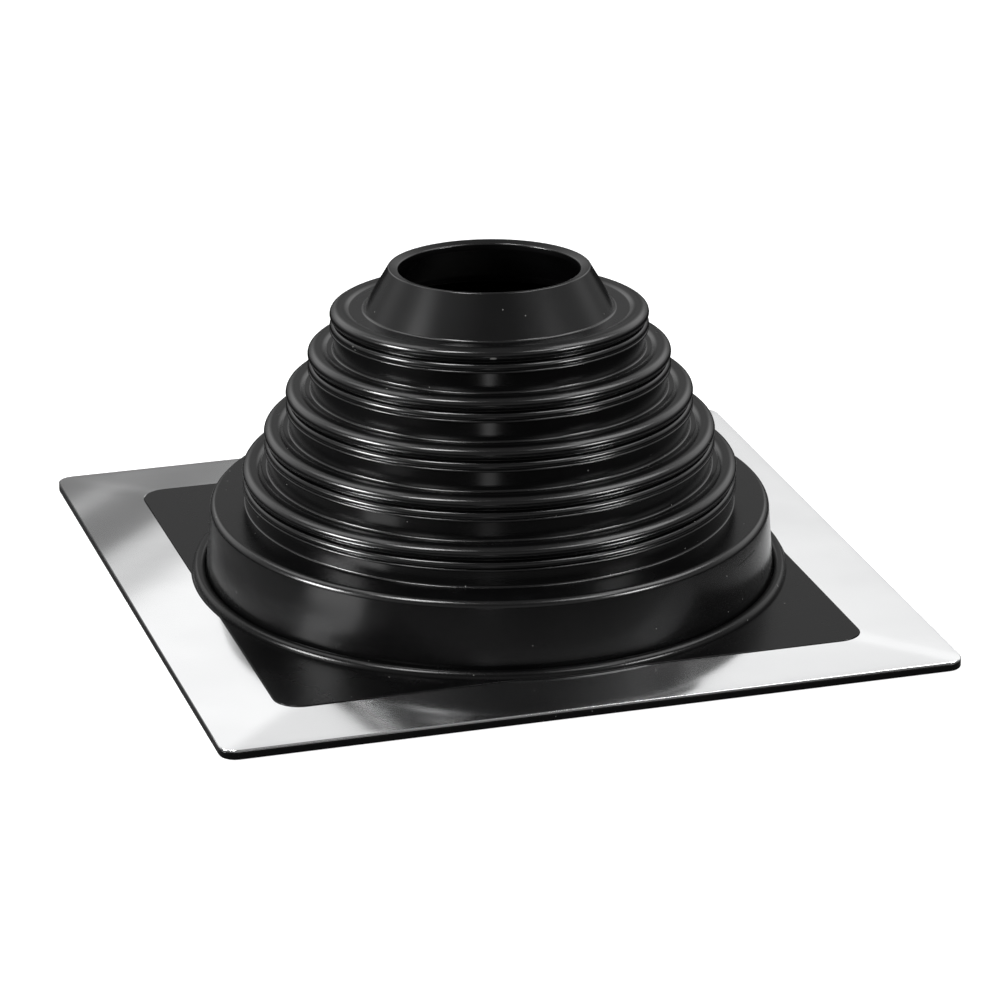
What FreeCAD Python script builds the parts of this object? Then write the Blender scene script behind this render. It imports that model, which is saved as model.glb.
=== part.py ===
"""Stepped pipe flashing: a moulded rubber boot on a square flange of soft aluminium sheet.

The boot is round about +Z and hollow: a collar with the opening, five tiers, a drum with a rolled foot,
and a base that lies on the roof. The flange is a square frame that lies on the base, flush with its edges.
The origin is the middle of the underside. All sizes are in millimetres.
"""
import FreeCAD, Part
import math
import os
import Sketcher

doc = FreeCAD.newDocument("pipe_flashing")
sheet = doc.addObject("Spreadsheet::Sheet", "sizes")

# Driving sizes, from the opening outwards and from the roof upwards
SIZES = (
    ("opening_radius", "36.75", "opening, a little under a 75 mm pipe, which stretches it"),
    ("rim_width", "3.85", "collar's rim, from the opening to its outer edge"),
    ("rim_fall", "1.2", "how far the rim slopes down towards the opening"),
    ("rim_land", "2.5", "straight wall of the opening"),
    ("collar_flare", "10.4", "how much wider the collar is at its foot than at its rim"),
    ("collar_rise", "16.75", "collar's height over the first tier"),
    ("collar_wall", "3.8", "collar's wall at its foot, measured level"),
    ("first_ledge", "13.5", "from the collar's foot to the first tier's rim"),
    ("tier_step", "9.1", "how much wider each tier is than the one over it"),
    ("tier_rise", "16.55", "height of one tier"),
    ("crown_radius", "6.0", "broad round top of the roll along a tier's edge"),
    ("front_lean", "35.4", "degrees from the crown's crest to the round front of the roll"),
    ("roll_radius", "2.2", "round front of the roll, and depth of the cutting groove under it"),
    ("valley_lean", "30", "degrees from the crown's crest to the valley behind the roll"),
    ("valley_radius", "2.0", "round valley behind the roll"),
    ("foot_fillet", "0.9", "fillet in the valley, at the foot of the wall over it"),
    ("groove_gap", "0.6", "height of the groove, from the roll to the lip"),
    ("lip_radius", "1.9", "half-round lip under the groove"),
    ("lip_drop", "1.95", "from the lip's middle to its foot"),
    ("drip_face", "0.65", "upright face of the thin drip edge at the lip's foot"),
    ("wall_inset", "1.7", "how far a tier's wall stands back under the lip"),
    ("foot_inset", "1.3", "how far a tier's wall stands back at its foot"),
    ("wall", "3.0", "rubber wall of the tiers and the drum"),
    ("drum_ledge", "13.6", "from the last tier's rim to the drum's wall"),
    ("drum_rise", "30.5", "drum's height over the flange"),
    ("drum_flare", "2.1", "how much wider the drum is at its foot"),
    ("shoulder_radius", "3.0", "rounded shoulder of the drum"),
    ("foot_groove", "0.4", "from the drum's wall to the roll on its foot"),
    ("foot_roll_radius", "2.4", "round roll on the foot"),
    ("foot_roll_lift", "0.2", "how far the roll's middle lies over the panel's top"),
    ("foot_edge", "0.2", "flat edge of the round foot outside the roll"),
    ("panel_inset", "2.0", "how far the panel's sides lie inside the round foot"),
    ("panel_corner", "10.5", "corner radius of the panel"),
    ("panel_proud", "0.4", "how far the panel stands over the flange"),
    ("window_clearance", "0.2", "gap between the panel and the flange's window"),
    ("flange_width", "30.0", "from the panel's side to the flange's edge"),
    ("flange_corner", "6.5", "corner radius of the flange and of the base"),
    ("flange_sheet", "1.0", "thickness of the aluminium sheet"),
    ("base_sheet", "3.0", "rubber under the flange"),
)
TIERS = 5

for row, (alias, number, meaning) in enumerate(SIZES, start=1):
    sheet.set(f"A{row}", alias)
    sheet.set(f"B{row}", number)
    sheet.set(f"C{row}", meaning)
    sheet.setAlias(f"B{row}", alias)
doc.recompute()


class Length:
    """A length or a ratio as a number, to draw with, and as the sheet's formula for it, to bind to."""

    def __init__(self, number, formula):
        self.number = number
        self.formula = formula

    def __add__(self, other):
        return Length(self.number + other.number, f"({self.formula} + {other.formula})")

    def __sub__(self, other):
        return Length(self.number - other.number, f"({self.formula} - {other.formula})")

    def __mul__(self, other):
        return Length(self.number * other.number, f"({self.formula} * {other.formula})")

    def __neg__(self):
        return Length(-self.number, f"(-{self.formula})")

    def times(self, count):
        return Length(self.number * count, f"({self.formula} * {count})")


def size(alias):
    return Length(float(sheet.get(alias)), f"sizes.{alias}")


def sine(alias):
    return Length(math.sin(math.radians(size(alias).number)), f"sin(sizes.{alias})")


def cosine(alias):
    return Length(math.cos(math.radians(size(alias).number)), f"cos(sizes.{alias})")


def origin_plane(body, role):
    return next(plane for plane in body.Origin.OriginFeatures if plane.Role == role)


def new_sketch(body, name, role, level=None):
    sketch = body.newObject("Sketcher::SketchObject", name)
    sketch.AttachmentSupport = (origin_plane(body, role), [""])
    sketch.MapMode = "FlatFace"
    if level is not None:
        sketch.setExpression("AttachmentOffset.Base.z", level.formula)
    return sketch


def outline(body, name, role, corners, level=None):
    """A closed sketch, drawn counter-clockwise. A corner is (x, y), reached by a straight line, or
    (x, y, middle_x, middle_y), reached by the shorter arc round that middle."""
    sketch = new_sketch(body, name, role, level)
    ends = []
    constraints = []
    formulas = []
    for index, corner in enumerate(corners):
        before = corners[index - 1]
        start = FreeCAD.Vector(before[0].number, before[1].number, 0)
        end = FreeCAD.Vector(corner[0].number, corner[1].number, 0)
        first, last = 1, 2
        held = []
        if len(corner) == 2:
            sketch.addGeometry(Part.LineSegment(start, end))
        else:
            middle = FreeCAD.Vector(corner[2].number, corner[3].number, 0)
            circle = Part.Circle(middle, FreeCAD.Vector(0, 0, 1), (end - middle).Length)
            turn_from = math.atan2(start.y - middle.y, start.x - middle.x)
            turn_to = math.atan2(end.y - middle.y, end.x - middle.x)
            if (turn_to - turn_from) % math.tau > math.pi:
                first, last = 2, 1
                turn_from, turn_to = turn_to, turn_from
            turn_to = turn_from + (turn_to - turn_from) % math.tau
            sketch.addGeometry(Part.ArcOfCircle(circle, turn_from, turn_to))
            if abs(end.y - start.y) > abs(end.x - start.x):
                held.append(("DistanceX", 3, corner[2]))
            else:
                held.append(("DistanceY", 3, corner[3]))
        held += [("DistanceX", last, corner[0]), ("DistanceY", last, corner[1])]
        for kind, point, length in held:
            constraints.append(Sketcher.Constraint(kind, -1, 1, index, point, length.number))
            formulas.append(length.formula)
        ends.append((first, last))
    for index, (first, last) in enumerate(ends):
        before = (index - 1) % len(ends)
        constraints.append(Sketcher.Constraint("Coincident", before, ends[before][1], index, first))
    sketch.addConstraint(constraints)
    for index, formula in enumerate(formulas):
        sketch.setExpression(f"Constraints[{index}]", formula)
    return sketch


def round_square(half, corner):
    """Corners of a square with rounded corners, about the origin."""
    near = half - corner
    return (
        (near, -half), (half, -near, near, -near),
        (half, near), (near, half, near, near),
        (-near, half), (-half, near, -near, near),
        (-half, -near), (-near, -half, -near, -near),
    )


def disc(body, name, radius, level=None):
    """A sketch of one level circle about the origin."""
    sketch = new_sketch(body, name, "XY_Plane", level)
    sketch.addGeometry(Part.Circle(FreeCAD.Vector(), FreeCAD.Vector(0, 0, 1), radius.number))
    sketch.addConstraint(Sketcher.Constraint("Coincident", 0, 3, -1, 1))
    sketch.addConstraint(Sketcher.Constraint("Radius", 0, radius.number))
    sketch.setExpression("Constraints[1]", radius.formula)
    return sketch


def bead(body, name, x, z, radius):
    """A sketch of one upright circle, the section of a roll."""
    sketch = new_sketch(body, name, "XZ_Plane")
    middle = FreeCAD.Vector(x.number, z.number, 0)
    sketch.addGeometry(Part.Circle(middle, FreeCAD.Vector(0, 0, 1), radius.number))
    sketch.addConstraint(Sketcher.Constraint("DistanceX", -1, 1, 0, 3, x.number))
    sketch.addConstraint(Sketcher.Constraint("DistanceY", -1, 1, 0, 3, z.number))
    sketch.addConstraint(Sketcher.Constraint("Radius", 0, radius.number))
    for index, length in enumerate((x, z, radius)):
        sketch.setExpression(f"Constraints[{index}]", length.formula)
    return sketch


def pad(body, name, sketch, thickness):
    feature = body.newObject("PartDesign::Pad", name)
    feature.Profile = sketch
    feature.setExpression("Length", thickness.formula)
    body.Tip = feature


def pocket(body, name, sketch, depth):
    """A cut upwards from the sketch's plane."""
    feature = body.newObject("PartDesign::Pocket", name)
    feature.Profile = sketch
    feature.Reversed = True
    feature.setExpression("Length", depth.formula)
    body.Tip = feature


def revolve(body, name, sketch):
    feature = body.newObject("PartDesign::Revolution", name)
    feature.Profile = sketch
    feature.ReferenceAxis = (sketch, ["V_Axis"])
    feature.Angle = 360
    body.Tip = feature


# Radii and heights that the pieces share
rim_radius = size("opening_radius") + size("rim_width")
collar_radius = rim_radius + size("collar_flare")
first_radius = collar_radius + size("first_ledge")
tier_radius = [first_radius + size("tier_step").times(index) for index in range(TIERS)]
drum_radius = tier_radius[-1] + size("drum_ledge")
drum_inside = drum_radius - size("wall")
drum_foot_radius = drum_radius + size("drum_flare")
foot_roll_middle = drum_foot_radius + size("foot_groove") + size("foot_roll_radius")
foot_radius = foot_roll_middle + size("foot_roll_radius") + size("foot_edge")
panel_half = foot_radius - size("panel_inset")
flange_half = panel_half + size("flange_width")
flange_top = size("base_sheet") + size("flange_sheet")
panel_top = flange_top + size("panel_proud")
drum_top = flange_top + size("drum_rise")
tier_top = [drum_top + size("tier_rise").times(TIERS - index) for index in range(TIERS)]
rim_top = tier_top[0] + size("collar_rise")

# The roll's broad top leans into its round front on one side and into the valley on the other
crown_to_roll = size("crown_radius") - size("roll_radius")
crown_to_valley = size("crown_radius") + size("valley_radius")
valley_fall = crown_to_valley - crown_to_valley * cosine("valley_lean")

# Rubber boot: base sheet, panel and round foot, with the hole under the drum
boot = doc.addObject("PartDesign::Body", "rubber_boot")
boot.Label = "rubber_boot"
sheet_edge = round_square(flange_half, size("flange_corner"))
base = outline(boot, "base_outline", "XY_Plane", sheet_edge)
pad(boot, "base", base, size("base_sheet"))
panel = outline(boot, "panel_outline", "XY_Plane", round_square(panel_half, size("panel_corner")))
pad(boot, "panel", panel, panel_top)
pad(boot, "foot", disc(boot, "foot_outline", foot_radius), panel_top)
pocket(boot, "inside", disc(boot, "inside_outline", drum_inside), panel_top)

# Drum: slightly wider at its foot, with a rounded shoulder and a flat top that carries the last tier
last_inside = tier_radius[-1] - size("wall_inset") - size("wall")
drum = outline(boot, "drum_section", "XZ_Plane", (
    (drum_inside, size("base_sheet")),
    (drum_foot_radius, size("base_sheet")),
    (drum_foot_radius, panel_top),
    (drum_radius, drum_top - size("shoulder_radius")),
    (drum_radius - size("shoulder_radius"), drum_top,
     drum_radius - size("shoulder_radius"), drum_top - size("shoulder_radius")),
    (last_inside, drum_top),
    (last_inside, drum_top - size("wall")),
    (drum_inside, drum_top - size("wall")),
))
revolve(boot, "drum", drum)

# Tiers: a round valley behind a broad roll, a cutting groove, a half-round lip with a drip edge, and a wall
# that stands in the valley of the next wider tier
for index in range(TIERS):
    number = index + 1
    radius = tier_radius[index]
    top = tier_top[index]
    inside = radius - size("wall_inset") - size("wall")
    crown_x = radius - size("roll_radius") - crown_to_roll * sine("front_lean")
    crown_z = top - size("crown_radius")
    roll_x = radius - size("roll_radius")
    roll_z = crown_z + crown_to_roll * cosine("front_lean")
    valley_x = crown_x - crown_to_valley * sine("valley_lean")
    valley = top - valley_fall
    ceiling = valley - size("wall")
    lip_middle = roll_z - size("roll_radius") - size("groove_gap") - size("lip_radius")
    lip_foot = lip_middle - size("lip_drop")
    foot = drum_top
    if number < TIERS:
        foot = tier_top[number] - valley_fall + size("foot_fillet")
    front = (
        (inside, foot),
        (radius - size("foot_inset"), foot),
        (radius - size("wall_inset"), lip_foot),
        (radius, lip_foot),
        (radius, lip_foot + size("drip_face")),
        (roll_x, lip_middle),
        (roll_x, roll_z - size("roll_radius")),
        (crown_x + size("crown_radius") * sine("front_lean"),
         crown_z + size("crown_radius") * cosine("front_lean"), roll_x, roll_z),
        (crown_x - size("crown_radius") * sine("valley_lean"),
         crown_z + size("crown_radius") * cosine("valley_lean"), crown_x, crown_z),
        (valley_x, valley, valley_x, valley + size("valley_radius")),
    )
    if number == 1:
        neck_inside = collar_radius - size("collar_wall")
        seat = ((collar_radius, valley), (neck_inside, valley))
    else:
        neck = tier_radius[index - 1] - size("foot_inset")
        neck_inside = tier_radius[index - 1] - size("wall_inset") - size("wall")
        fillet_x = neck + size("foot_fillet")
        fillet_z = valley + size("foot_fillet")
        seat = ((fillet_x, valley), (neck, fillet_z, fillet_x, fillet_z), (neck_inside, fillet_z))
    under = ((neck_inside, ceiling), (inside, ceiling))
    revolve(boot, f"tier_{number}", outline(boot, f"tier_{number}_section", "XZ_Plane", front + seat + under))
    lip = bead(boot, f"lip_{number}_section", radius - size("lip_radius"), lip_middle, size("lip_radius"))
    revolve(boot, f"lip_{number}", lip)

# Collar: a cone that thickens towards the rim, with a short straight wall round the opening
collar = outline(boot, "collar_section", "XZ_Plane", (
    (collar_radius - size("collar_wall"), tier_top[0] - valley_fall),
    (collar_radius, tier_top[0] - valley_fall),
    (rim_radius, rim_top),
    (size("opening_radius"), rim_top - size("rim_fall")),
    (size("opening_radius"), rim_top - size("rim_fall") - size("rim_land")),
))
revolve(boot, "collar", collar)

# Roll along the foot of the drum
foot_roll = bead(boot, "foot_roll_section", foot_roll_middle, panel_top + size("foot_roll_lift"),
                 size("foot_roll_radius"))
revolve(boot, "foot_roll", foot_roll)

# Aluminium flange: a square frame whose window follows the panel and the round foot
flange = doc.addObject("PartDesign::Body", "aluminium_flange")
flange.Label = "aluminium_flange"
sheet_level = size("base_sheet")
window_half = panel_half + size("window_clearance")
window_edge = round_square(window_half, size("panel_corner") + size("window_clearance"))
blank = outline(flange, "blank_outline", "XY_Plane", sheet_edge, sheet_level)
pad(flange, "blank", blank, size("flange_sheet"))
window = outline(flange, "window_outline", "XY_Plane", window_edge, sheet_level)
pocket(flange, "window", window, size("flange_sheet"))
relief = disc(flange, "relief_outline", foot_radius + size("window_clearance"), sheet_level)
pocket(flange, "foot_relief", relief, size("flange_sheet"))

doc.recompute()

failed = [item.Name for item in doc.Objects if "Invalid" in item.State or "Error" in item.State]
if failed:
    raise RuntimeError(f"not built: {failed}")
os.makedirs("parts", exist_ok=True)
for body in (boot, flange):
    if body.Shape.isNull() or not body.Shape.isValid() or len(body.Shape.Solids) != 1:
        raise RuntimeError(f"no single valid solid: {body.Label}")
for body in (boot, flange):
    body.Shape.exportStep(f"parts/{body.Label}.step")
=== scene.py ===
import math

import bmesh
import bpy
from mathutils import Matrix, Vector


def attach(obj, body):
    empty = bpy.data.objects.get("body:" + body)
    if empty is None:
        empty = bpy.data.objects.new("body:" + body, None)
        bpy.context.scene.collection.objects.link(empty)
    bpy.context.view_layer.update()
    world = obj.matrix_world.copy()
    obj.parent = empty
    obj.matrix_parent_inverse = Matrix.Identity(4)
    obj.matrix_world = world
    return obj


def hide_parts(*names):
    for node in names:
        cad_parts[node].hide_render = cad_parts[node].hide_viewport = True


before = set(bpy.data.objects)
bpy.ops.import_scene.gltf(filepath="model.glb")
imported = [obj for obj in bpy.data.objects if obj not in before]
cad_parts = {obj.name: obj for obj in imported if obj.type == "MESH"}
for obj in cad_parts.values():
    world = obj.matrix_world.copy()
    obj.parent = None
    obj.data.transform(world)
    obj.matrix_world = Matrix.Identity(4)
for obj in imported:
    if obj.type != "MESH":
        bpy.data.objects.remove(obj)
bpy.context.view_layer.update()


# Rubber boot: one hollow moulding that grips the pipe, with a collar, five tiers to cut at, a drum, a
# rolled foot and a thin base under the metal. It is black rubber pressed in a steel mould, so its edges
# are round, its walls taper and its skin is satin. It stands with a slight lean, as soft rubber does.
class Section:
    """A closed section on the XZ plane, drawn from point to point in millimetres."""

    RAYS = 264
    CROWDING = 0.175
    SAME_POINT = 0.0005

    def __init__(self, x, z):
        self.mesh = bmesh.new()
        self.first = self.mesh.verts.new((x, 0, z))
        self.tip = self.first
        self.corners = {}

    def line(self, x, z, rounding=0):
        """Straight to (x, z), where the corner may be rounded."""
        self.tip = bmesh.ops.extrude_vert_indiv(self.mesh, verts=[self.tip])["verts"][0]
        self.tip.co = (x, 0, z)
        if rounding:
            self.corners.setdefault(rounding, []).append(self.tip)

    def arc(self, x, z, turn, steps):
        """Round the middle (x, z) by a turn in degrees, clockwise as seen from the front."""
        made = bmesh.ops.spin(self.mesh, geom=[self.tip], cent=(x, 0, z), axis=(0, 1, 0),
                              angle=math.radians(turn), steps=steps)
        self.tip = made["geom_last"][0]

    def turned(self):
        """The section spun into a closed body, with its rays crowded towards the square's corners."""
        self.mesh.edges.new((self.tip, self.first))
        for rounding, corners in self.corners.items():
            bmesh.ops.bevel(self.mesh, geom=corners, offset=rounding, segments=3, profile=0.5,
                            affect="VERTICES", material=-1)
        bmesh.ops.spin(self.mesh, geom=self.mesh.verts[:] + self.mesh.edges[:], cent=(0, 0, 0),
                       axis=(0, 0, 1), angle=math.tau, steps=self.RAYS, use_merge=True)
        bmesh.ops.remove_doubles(self.mesh, verts=self.mesh.verts, dist=self.SAME_POINT)
        bmesh.ops.recalc_face_normals(self.mesh, faces=self.mesh.faces)
        for point in self.mesh.verts:
            turn = math.atan2(point.co.y, point.co.x)
            crowd = Matrix.Rotation(self.CROWDING * math.sin(4 * turn), 3, "Z")
            point.co = crowd @ point.co
        return self.mesh


def square_reach(point, half, corner):
    """How far the edge of a square with rounded corners is from the axis, in the direction of a point."""
    across = sorted((abs(point.x), abs(point.y)))
    short, long = Vector(across).normalized()
    near = half - corner
    reach = half / long
    if reach * short > near:
        both = near * (long + short)
        reach = both + math.sqrt(both ** 2 - 2 * near ** 2 + corner ** 2)
    return reach


def to_square(mesh, ring, half, corner, least=0, within=12):
    """Moves the points near a round placeholder out to a square with rounded corners."""
    for point in mesh.verts:
        flat = Vector((point.co.x, point.co.y))
        if abs(flat.length - ring) < within:
            reach = max(least, square_reach(flat, half, corner))
            flat = flat.normalized() * (flat.length + reach - ring)
            point.co.x = flat.x
            point.co.y = flat.y


def finished(name, mesh):
    """The piece's object, in metres, with smooth faces between sharp edges."""
    millimetre = 0.001
    sharp_edge = math.radians(50)
    bmesh.ops.scale(mesh, vec=(millimetre, millimetre, millimetre), verts=mesh.verts)
    data = bpy.data.meshes.new(name)
    mesh.to_mesh(data)
    mesh.free()
    data.shade_smooth()
    data.set_sharp_from_angle(angle=sharp_edge)
    piece = bpy.data.objects.new(name, data)
    bpy.context.scene.collection.objects.link(piece)
    weighted = piece.modifiers.new("even_faces", "WEIGHTED_NORMAL")
    weighted.keep_sharp = True
    return piece


WALL = 3.0
OPENING_RADIUS = 36.75
RIM_RADIUS = 40.6
RIM_FOOT = 130.3
RIM_MIDDLE = 131.5
RIM_EDGE = 132.8
RIM_TOP = 134.0
COLLAR_RADIUS = 51.0
COLLAR_INSIDE = 47.2

TIER_COUNT = 5
TIER_RADIUS = 64.5
TIER_TOP = 117.25
STEP_OUT = 9.1
STEP_DOWN = 16.55
VALLEY_DOWN = 1.07
VALLEY_IN = 8.4
VALLEY_ROUND = 2.0
VALLEY_TURN = 30
CROWN_IN = 4.4
CROWN_ROUND = 6.0
CROWN_TURN = 65.4
ROLL_DOWN = 2.9
ROLL_ROUND = 2.2
ROLL_TURN = 144.6
GROOVE_DOWN = 5.4
GROOVE_ROUND = 0.3
LIP_DOWN = 7.6
LIP_ROUND = 1.9
LIP_TURN = 124.7
DRIP_TOP = 8.9
DRIP_FOOT = 9.55
INSET_TOP = 1.7
INSET_FOOT = 1.3
INSET_INSIDE = 4.7
FILLET = 0.9

DRUM_TOP = 34.5
DRUM_INSIDE = 111.5
LAST_WALL_FOOT = 99.6
SHOULDER_TURN = 85.6
DRUM_WALL_FOOT = (116.4, 6.1)
FOOT_START = (116.5, 6.0)
FOOT_MIDDLE = (119.25, 5.1)
FOOT_TURN = 157
FOOT_CLEAR = 122.4

PANEL_RING = 135
PANEL_HALF = 120
PANEL_CORNER = 10.5
PANEL_TOP = 5.4
BASE_RING = 260
BASE_HALF = 150
BASE_CORNER = 6.5
BASE_INNER_TOP = 4.0
BASE_EDGE_TOP = 3.0

tiers = [(TIER_RADIUS + STEP_OUT * tier, TIER_TOP - STEP_DOWN * tier) for tier in range(TIER_COUNT)]
section = Section(OPENING_RADIUS, RIM_MIDDLE)
section.line(OPENING_RADIUS, RIM_EDGE, rounding=0.5)
section.line(RIM_RADIUS, RIM_TOP, rounding=0.7)
section.line(COLLAR_RADIUS, TIER_TOP - VALLEY_DOWN, rounding=0.9)
for radius, top in tiers:
    section.line(radius - VALLEY_IN, top - VALLEY_DOWN)
    section.arc(radius - VALLEY_IN, top - VALLEY_DOWN + VALLEY_ROUND, -VALLEY_TURN, steps=3)
    section.arc(radius - CROWN_IN, top - CROWN_ROUND, CROWN_TURN, steps=7)
    section.arc(radius - ROLL_ROUND, top - ROLL_DOWN, ROLL_TURN, steps=9)
    section.arc(radius - ROLL_ROUND, top - GROOVE_DOWN, -180, steps=4)
    section.line(radius - LIP_ROUND, top - GROOVE_DOWN - GROOVE_ROUND)
    section.arc(radius - LIP_ROUND, top - LIP_DOWN, LIP_TURN, steps=8)
    section.line(radius, top - DRIP_TOP, rounding=0.3)
    section.line(radius, top - DRIP_FOOT, rounding=0.3)
    section.line(radius - INSET_TOP, top - DRIP_FOOT, rounding=0.35)
    if (radius, top) != tiers[-1]:
        foot = top - STEP_DOWN - VALLEY_DOWN
        section.line(radius - INSET_FOOT, foot + FILLET)
        section.arc(radius - INSET_FOOT + FILLET, foot + FILLET, -90, steps=3)
section.line(LAST_WALL_FOOT, DRUM_TOP, rounding=0.9)
section.line(DRUM_INSIDE, DRUM_TOP)
section.arc(DRUM_INSIDE, DRUM_TOP - WALL, SHOULDER_TURN, steps=8)
section.line(*DRUM_WALL_FOOT)
section.line(*FOOT_START)
section.arc(*FOOT_MIDDLE, FOOT_TURN, steps=11)
section.line(PANEL_RING, PANEL_TOP, rounding=0.25)
section.line(PANEL_RING, BASE_INNER_TOP)
section.line(BASE_RING, BASE_EDGE_TOP, rounding=0.5)
section.line(BASE_RING, 0, rounding=0.5)
section.line(DRUM_INSIDE, 0, rounding=0.6)
under = DRUM_TOP - WALL
section.line(DRUM_INSIDE, under, rounding=1.0)
for radius, top in reversed(tiers):
    section.line(radius - INSET_INSIDE, under, rounding=0.8)
    under = top - VALLEY_DOWN - WALL
    section.line(radius - INSET_INSIDE, under, rounding=0.8)
section.line(COLLAR_INSIDE, under, rounding=0.8)
section.line(COLLAR_INSIDE, under + WALL, rounding=0.8)
section.line(OPENING_RADIUS, RIM_FOOT, rounding=0.4)
boot_mesh = section.turned()
to_square(boot_mesh, PANEL_RING, PANEL_HALF, PANEL_CORNER, least=FOOT_CLEAR)
to_square(boot_mesh, BASE_RING, BASE_HALF, BASE_CORNER)

AWAY = Vector((0.2917, 0.9565, 0))
RIGHTWARD = Vector((0.9565, -0.2917, 0))
LEAN_HEIGHT = 82.5
LEAN_BACK = 0.0515
LEAN_BACK_CURVE = 1.45
LEAN_LEFT = 0.0065
LEAN_LEFT_RATE = 6
for point in boot_mesh.verts:
    rise = min(1, max(0, point.co.z - DRUM_TOP) / LEAN_HEIGHT)
    lean_back = LEAN_BACK * rise ** LEAN_BACK_CURVE
    lean_left = LEAN_LEFT * min(1, LEAN_LEFT_RATE * rise)
    point.co.z += lean_left * RIGHTWARD.dot(point.co) - lean_back * AWAY.dot(point.co)
boot = finished("rubber_boot_moulding", boot_mesh)


class Shade:
    """A socket of a shader. Sums on it add Math nodes, and add() places any other node."""

    def __init__(self, tree, socket=None):
        self.tree = tree
        self.socket = socket

    def add(self, kind, settings=None, sockets=None, out=0):
        node = self.tree.nodes.new("ShaderNode" + kind)
        for name, value in (settings or {}).items():
            if name == "stops":
                while len(node.color_ramp.elements) < len(value):
                    node.color_ramp.elements.new(0.5)
                for element, (place, level) in zip(node.color_ramp.elements, value):
                    element.position = place
                    element.color = (level, level, level, 1)
            else:
                setattr(node, name, value)
        for name, value in (sockets or {}).items():
            if isinstance(value, Shade):
                self.tree.links.new(value.socket, node.inputs[name])
            else:
                node.inputs[name].default_value = value
        return Shade(self.tree, node.outputs[out] if node.outputs else None)

    def math(self, operation, first, second=0.0):
        return self.add("Math", {"operation": operation}, {0: first, 1: second})

    def __add__(self, other):
        return self.math("ADD", self, other)

    def __radd__(self, other):
        return self.math("ADD", other, self)

    def __sub__(self, other):
        return self.math("SUBTRACT", self, other)

    def __rsub__(self, other):
        return self.math("SUBTRACT", other, self)

    def __mul__(self, other):
        return self.math("MULTIPLY", self, other)

    def __rmul__(self, other):
        return self.math("MULTIPLY", other, self)

    def __lt__(self, other):
        return self.math("LESS_THAN", self, other)

    def __gt__(self, other):
        return self.math("GREATER_THAN", self, other)

    def measure(self, axis):
        """A vector's X, Y or Z."""
        return self.add("SeparateXYZ", None, {"Vector": self}, out="XYZ".index(axis))

    def ramp(self, low, high, start=0.0, end=1.0):
        """The value turned from the range low to high into the range start to end, smoothly."""
        return self.add("MapRange", {"interpolation_type": "SMOOTHSTEP"},
                        {"Value": self, "From Min": low, "From Max": high, "To Min": start, "To Max": end})

    def tint(self, dark, light):
        """The value as a colour between two."""
        return self.add("Mix", {"data_type": "RGBA"}, {"Factor": self, 6: dark, 7: light}, out=2)


def new_finish(piece, name):
    """An empty material on a piece, and the piece's own coordinates, which its patterns start from."""
    material = bpy.data.materials.new(name)
    material.use_nodes = True
    material.node_tree.nodes.clear()
    piece.data.materials.append(material)
    start = Shade(material.node_tree)
    return start, start.add("TexCoord", out=3)


def surface(start, **sockets):
    """The finished shader, with its sockets named by words joined with low lines."""
    named = {name.replace("_", " "): value for name, value in sockets.items()}
    start.add("OutputMaterial", None, {"Surface": start.add("BsdfPrincipled", None, named)})


DARK_SKIN = (0.0012, 0.0012, 0.0013, 1)
PALE_SKIN = (0.0028, 0.0028, 0.0029, 1)
DUST_AND_HIGHLIGHT_COLOUR = (0.3, 0.3, 0.29, 1)
SPECK_SIZE = 0.036
NIB_HIGHLIGHT_STRETCH = (1, 1, 3)
NIB_HIGHLIGHT_PLACE = (-0.017, -0.0617, 0.3507)
NIB_HIGHLIGHT_RADIUS = 0.0014
SCUFF_HEIGHT = 0.0272
SCUFF_SLOPE = 0.05
SCUFF_WIDTH = 0.00022
SCUFF_START = 0.0781
SCUFF_MIDDLE = 0.0838
SCUFF_END = 0.0895

rubber, place = new_finish(boot, "black_rubber")
along = place.measure("X")
height = place.measure("Z")
upward = rubber.add("NewGeometry", out=1).measure("Z")
level = upward.ramp(0.9, 0.99)
cloud = rubber.add("TexNoise", None, {"Vector": place, "Scale": 28.0, "Detail": 4.0, "Roughness": 0.6})
grain = rubber.add("TexNoise", None, {"Vector": place, "Scale": 1600.0, "Detail": 2.0})
speck = rubber.add("TexVoronoi", None, {"Vector": place, "Scale": 130.0})
dust = (speck < SPECK_SIZE) * (cloud > 0.5)
# Painted highlight: a small pale dash on the top tier where a nib catches the light, drawn in the dust's
# colour.
stretched = rubber.add("VectorMath", {"operation": "MULTIPLY"}, {0: place, 1: NIB_HIGHLIGHT_STRETCH})
from_nib_highlight = rubber.add("VectorMath", {"operation": "DISTANCE"}, {0: stretched, 1: NIB_HIGHLIGHT_PLACE}, out=1)
painted_nib_highlight = from_nib_highlight < NIB_HIGHLIGHT_RADIUS
from_scuff = rubber.math("ABSOLUTE", height - SCUFF_HEIGHT - (along - SCUFF_MIDDLE) * SCUFF_SLOPE)
scuff = (from_scuff < SCUFF_WIDTH) * (along > SCUFF_START) * (along < SCUFF_END) * (cloud > 0.4)
skin = cloud.ramp(0.35, 0.7).tint(DARK_SKIN, PALE_SKIN)
# The skin's colour with pale dust specks, which are real, and the painted highlight on the nib.
colour = ((dust + painted_nib_highlight) * 0.6).tint(skin, DUST_AND_HIGHLIGHT_COLOUR)
gloss = 0.27 + (cloud - 0.5) * 0.08 + dust * 0.3
shine = (1.0 - level) * (1.0 - scuff) * height.ramp(0.008, 0.011, start=0.45)
relief = grain * 0.6 + cloud * 0.4 + dust * 2.0
skin_normal = rubber.add("Bump", None, {"Strength": 0.05, "Distance": 0.0004, "Height": relief})
surface(rubber, Base_Color=colour, Roughness=gloss, Normal=skin_normal, Specular_IOR_Level=0.06,
        Coat_Weight=shine, Coat_Roughness=0.2)

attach(boot, "root")
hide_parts("rubber_boot")


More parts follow.
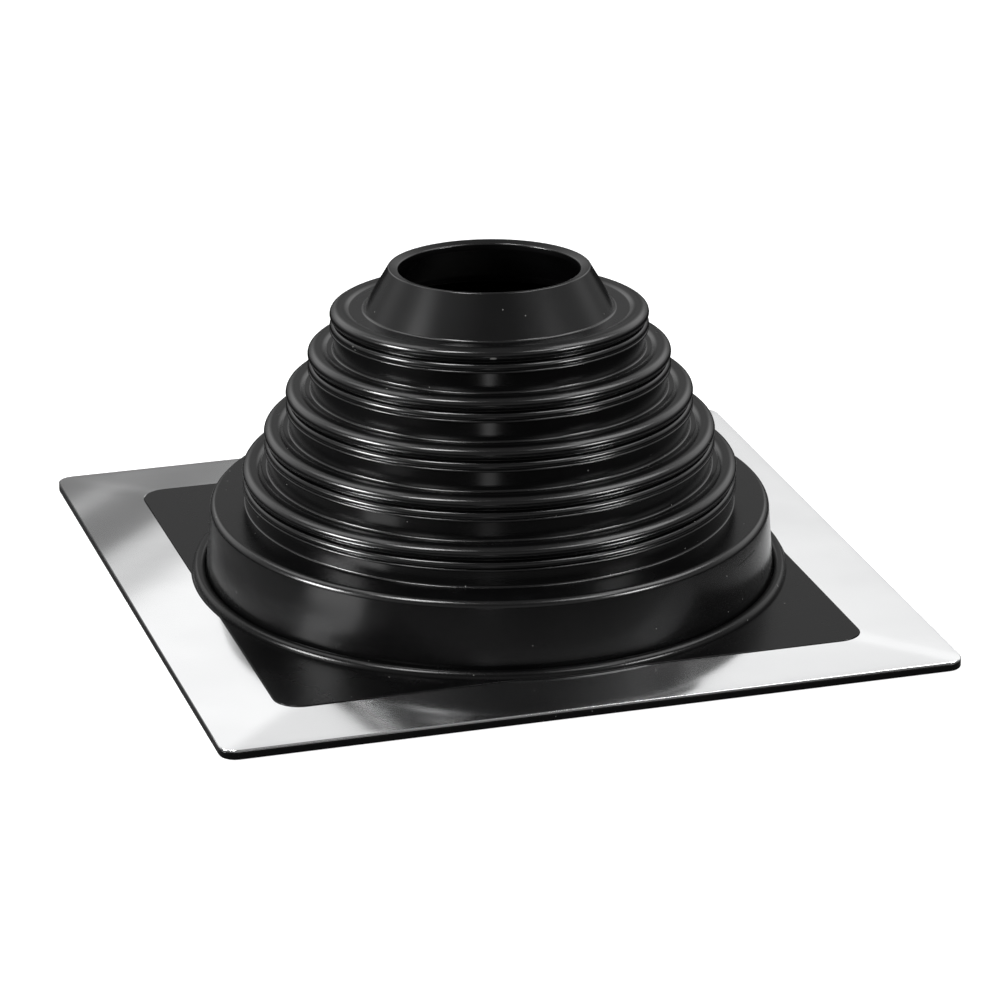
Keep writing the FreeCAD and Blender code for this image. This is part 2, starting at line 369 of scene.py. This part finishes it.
# Flange: a square frame cut from soft aluminium sheet 1 mm thick, bent by hand to the roof. It is bright
# rolled metal, laid on the boot's base, flush with its edges. Its four sides fall slightly outwards, which
# shows as a mitre at each corner, and its left corner is bent up a little, which only the shading shows.
SHEET = 1.0
WINDOW_RING = 135
WINDOW_GAP = 0.2
EDGE_RING = 165
FALL = BASE_INNER_TOP - BASE_EDGE_TOP
FALL_SHARES = (0.1, 0.25, 0.4, 0.55, 0.7, 0.85)

frame_width = EDGE_RING - WINDOW_RING
window_top = BASE_INNER_TOP + SHEET
frame_section = Section(WINDOW_RING, window_top - SHEET / 2)
frame_section.line(WINDOW_RING, window_top, rounding=0.15)
for share in FALL_SHARES:
    frame_section.line(WINDOW_RING + frame_width * share, window_top - FALL * share)
frame_section.line(EDGE_RING, BASE_EDGE_TOP + SHEET, rounding=0.45)
frame_section.line(EDGE_RING, BASE_EDGE_TOP, rounding=0.2)
frame_section.line(WINDOW_RING, BASE_INNER_TOP, rounding=0.15)
frame_mesh = frame_section.turned()
for point in frame_mesh.verts:
    flat = Vector((point.co.x, point.co.y))
    share = (flat.length - WINDOW_RING) / frame_width
    window = square_reach(flat, PANEL_HALF + WINDOW_GAP, PANEL_CORNER + WINDOW_GAP)
    inner = max(FOOT_CLEAR + WINDOW_GAP, window)
    outer = square_reach(flat, BASE_HALF, BASE_CORNER)
    flat = flat.normalized() * (inner + (outer - inner) * share)
    point.co.x = flat.x
    point.co.y = flat.y
flange = finished("aluminium_flange_sheet", frame_mesh)

DULL_METAL = (0.88, 0.885, 0.89, 1)
BRIGHT_METAL = (0.93, 0.935, 0.94, 1)
MITRE = 0.009
SIDE_TILT = 0.055
DIAGONAL = 0.7071
BEND_START = 0.07
BEND_END = 0.165
BEND_TILT = 0.16
BEND_WAVES = 131.0
WAVES_START = 0.65

metal, place = new_finish(flange, "soft_aluminium")
across = place.measure("X")
along = place.measure("Y")
on_side = (metal.math("ABSOLUTE", across) - metal.math("ABSOLUTE", along)).ramp(-MITRE, MITRE)
on_front = (1.0 - on_side) * (along < 0.0)
corner = (along - across) * DIAGONAL
waving = 1.0 + metal.math("SINE", corner * BEND_WAVES - WAVES_START) * 0.2
bend = corner.ramp(BEND_START, BEND_END, end=BEND_TILT) * waving * (0.25 + on_side * 0.75)
twist = on_front * across.ramp(-0.12, 0.06, start=-0.11, end=-0.028)
tilt_across = on_side * metal.math("SIGN", across) * SIDE_TILT + twist - bend
tilt_along = (1.0 - on_side) * metal.math("SIGN", along) * SIDE_TILT + bend
tilt = metal.add("CombineXYZ", None, {0: tilt_across, 1: tilt_along})
handling = metal.add("TexNoise", None, {"Vector": place, "Scale": 22.0, "Detail": 3.0})
colour = handling.ramp(0.3, 0.7).tint(DULL_METAL, BRIGHT_METAL)
gloss = 0.13 + (handling - 0.5) * 0.05
waves = metal.add("Bump", None, {"Strength": 0.1, "Distance": 0.0006, "Height": handling})
bent = metal.add("VectorMath", {"operation": "ADD"}, {0: waves, 1: tilt})
sheet_normal = metal.add("VectorMath", {"operation": "NORMALIZE"}, {0: bent})
surface(metal, Base_Color=colour, Roughness=gloss, Normal=sheet_normal, Metallic=1.0)

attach(flange, "root")
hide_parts("aluminium_flange")


# Camera: a long lens in front of the object and a little to its left, which looks down on the boot by
# about 21 degrees.
SENSOR = 36
LENS = 170.6
DISTANCE = 1.9536
LOOK_AT = Vector((0.0071, 0.0079, 0.0286))

back = Vector((-0.2717, -0.8911, 0.3636)).normalized()
right = RIGHTWARD.normalized()
camera = bpy.data.objects.new("camera", bpy.data.cameras.new("camera"))
camera.data.sensor_width = SENSOR
camera.data.lens = LENS
camera.matrix_world = Matrix((right, back.cross(right), back)).transposed().to_4x4()
camera.location = LOOK_AT + back * DISTANCE
bpy.context.scene.collection.objects.link(camera)
bpy.context.scene.camera = camera


# Floor: a plain pale table top, which is white to the camera and keeps the object's soft shadow. In the
# gloss of the object it is dark, with a painted pool of light near the plate.
FLOOR_HALF = 3
FLOOR_DOWN = 0.0003
PAINTED_POOL_NEAR_PLATE = (0.09, 0.09, 0.09, 1)
FAR_OUT = (0.012, 0.012, 0.012, 1)
PALE_TOP = (0.5, 0.5, 0.5, 1)
WHITE = (1, 1, 1, 1)

floor_mesh = bmesh.new()
bmesh.ops.create_grid(floor_mesh, x_segments=1, y_segments=1, size=FLOOR_HALF)
bmesh.ops.translate(floor_mesh, vec=(0, 0, -FLOOR_DOWN), verts=floor_mesh.verts)
floor_data = bpy.data.meshes.new("floor")
floor_mesh.to_mesh(floor_data)
floor_mesh.free()
floor = bpy.data.objects.new("floor", floor_data)
bpy.context.scene.collection.objects.link(floor)

table, place = new_finish(floor, "table_top")
seen = table.add("LightPath")
# Painted pool of light: the floor's colour in the object's gloss is lighter near the plate.
reach = table.add("VectorMath", {"operation": "LENGTH"}, {0: place}, out=1).ramp(0.2, 0.34)
plain = table.add("BsdfDiffuse", None, {"Color": reach.tint(PAINTED_POOL_NEAR_PLATE, FAR_OUT)})
glow = table.add("Emission", None, {"Color": WHITE, "Strength": 0.8})
pale = table.add("BsdfDiffuse", None, {"Color": PALE_TOP})
lit = table.add("AddShader", None, {0: glow, 1: pale})
shown = table.add("MixShader", None, {"Fac": seen, 1: plain, 2: lit})
table.add("OutputMaterial", None, {"Surface": shown})


# Light: a white studio wall behind the object and a dim room in front of it, two high lamps and two cards
# at the front, a soft lamp on each side, a low card at the left, and two strips that lie on the table in
# front of the plate and at its left.
WALL_LEVELS = ((0.0, 0.2), (0.15, 0.22), (0.3, 0.9), (0.36, 1.02), (0.5, 1.04), (0.6, 0.8), (0.72, 0.45),
               (1.0, 0.2))
ROOM_LEVELS = ((0.0, 0.06), (0.2, 0.38), (0.48, 0.38), (0.62, 0.1), (1.0, 0.2))

world = bpy.data.worlds.new("studio")
bpy.context.scene.world = world
world.use_nodes = True
world.node_tree.nodes.clear()
room = Shade(world.node_tree)
way = room.add("TexCoord")
height = way.measure("Z")
wall = room.add("ValToRGB", {"stops": WALL_LEVELS}, {"Fac": height})
front = room.add("ValToRGB", {"stops": ROOM_LEVELS}, {"Fac": height})
behind = room.add("VectorMath", {"operation": "DOT_PRODUCT"}, {0: way, 1: AWAY}, out=1).ramp(0.2, 0.7)
seen = room.add("LightPath")
shown = seen.tint(behind.tint(front, wall), WHITE)
light = room.add("Background", None, {"Color": shown, "Strength": 1.0})
room.add("OutputWorld", None, {"Surface": light})


def lamp(name, turn, reach, height, rise, width, tall, watts):
    """A soft lamp at a turn from the camera, its reach from the axis and its height. It shines down from
    its rise in degrees, or up from the table where that is below zero."""
    data = bpy.data.lights.new(name, "AREA")
    data.shape = "RECTANGLE"
    data.size = width
    data.size_y = tall
    data.energy = watts
    outward = Matrix.Rotation(math.radians(turn), 3, "Z") @ -AWAY
    toward = outward * math.cos(math.radians(rise)) + Vector((0, 0, math.sin(math.radians(rise))))
    piece = bpy.data.objects.new(name, data)
    piece.rotation_mode = "QUATERNION"
    piece.rotation_quaternion = toward.to_track_quat("Z", "Y")
    piece.location = outward * reach + Vector((0, 0, height))
    piece.visible_camera = False
    bpy.context.scene.collection.objects.link(piece)


lamp("lamp_left", turn=-50, reach=0.62, height=1.32, rise=65, width=0.3, tall=0.5, watts=9)
lamp("lamp_right", turn=58, reach=0.85, height=1.42, rise=58, width=0.4, tall=0.5, watts=4)
lamp("card_left", turn=-69, reach=0.95, height=0.39, rise=22.5, width=0.28, tall=0.24, watts=8.5)
lamp("card_right", turn=60, reach=0.95, height=0.45, rise=25, width=0.28, tall=0.16, watts=3.6)
lamp("soft_left", turn=-112, reach=0.84, height=1.2, rise=55, width=0.7, tall=0.7, watts=3.2)
lamp("soft_right", turn=108, reach=0.84, height=1.2, rise=55, width=0.7, tall=0.7, watts=5.2)
lamp("card_low", turn=-63, reach=1.0, height=0.11, rise=4, width=0.4, tall=0.14, watts=0.25)
lamp("strip_front", turn=0, reach=0.42, height=0.001, rise=-89, width=0.045, tall=0.44, watts=0.12)
lamp("strip_left", turn=-47, reach=0.235, height=0.001, rise=-89, width=0.07, tall=0.08, watts=0.032)

bpy.context.scene.view_settings.view_transform = "Standard"
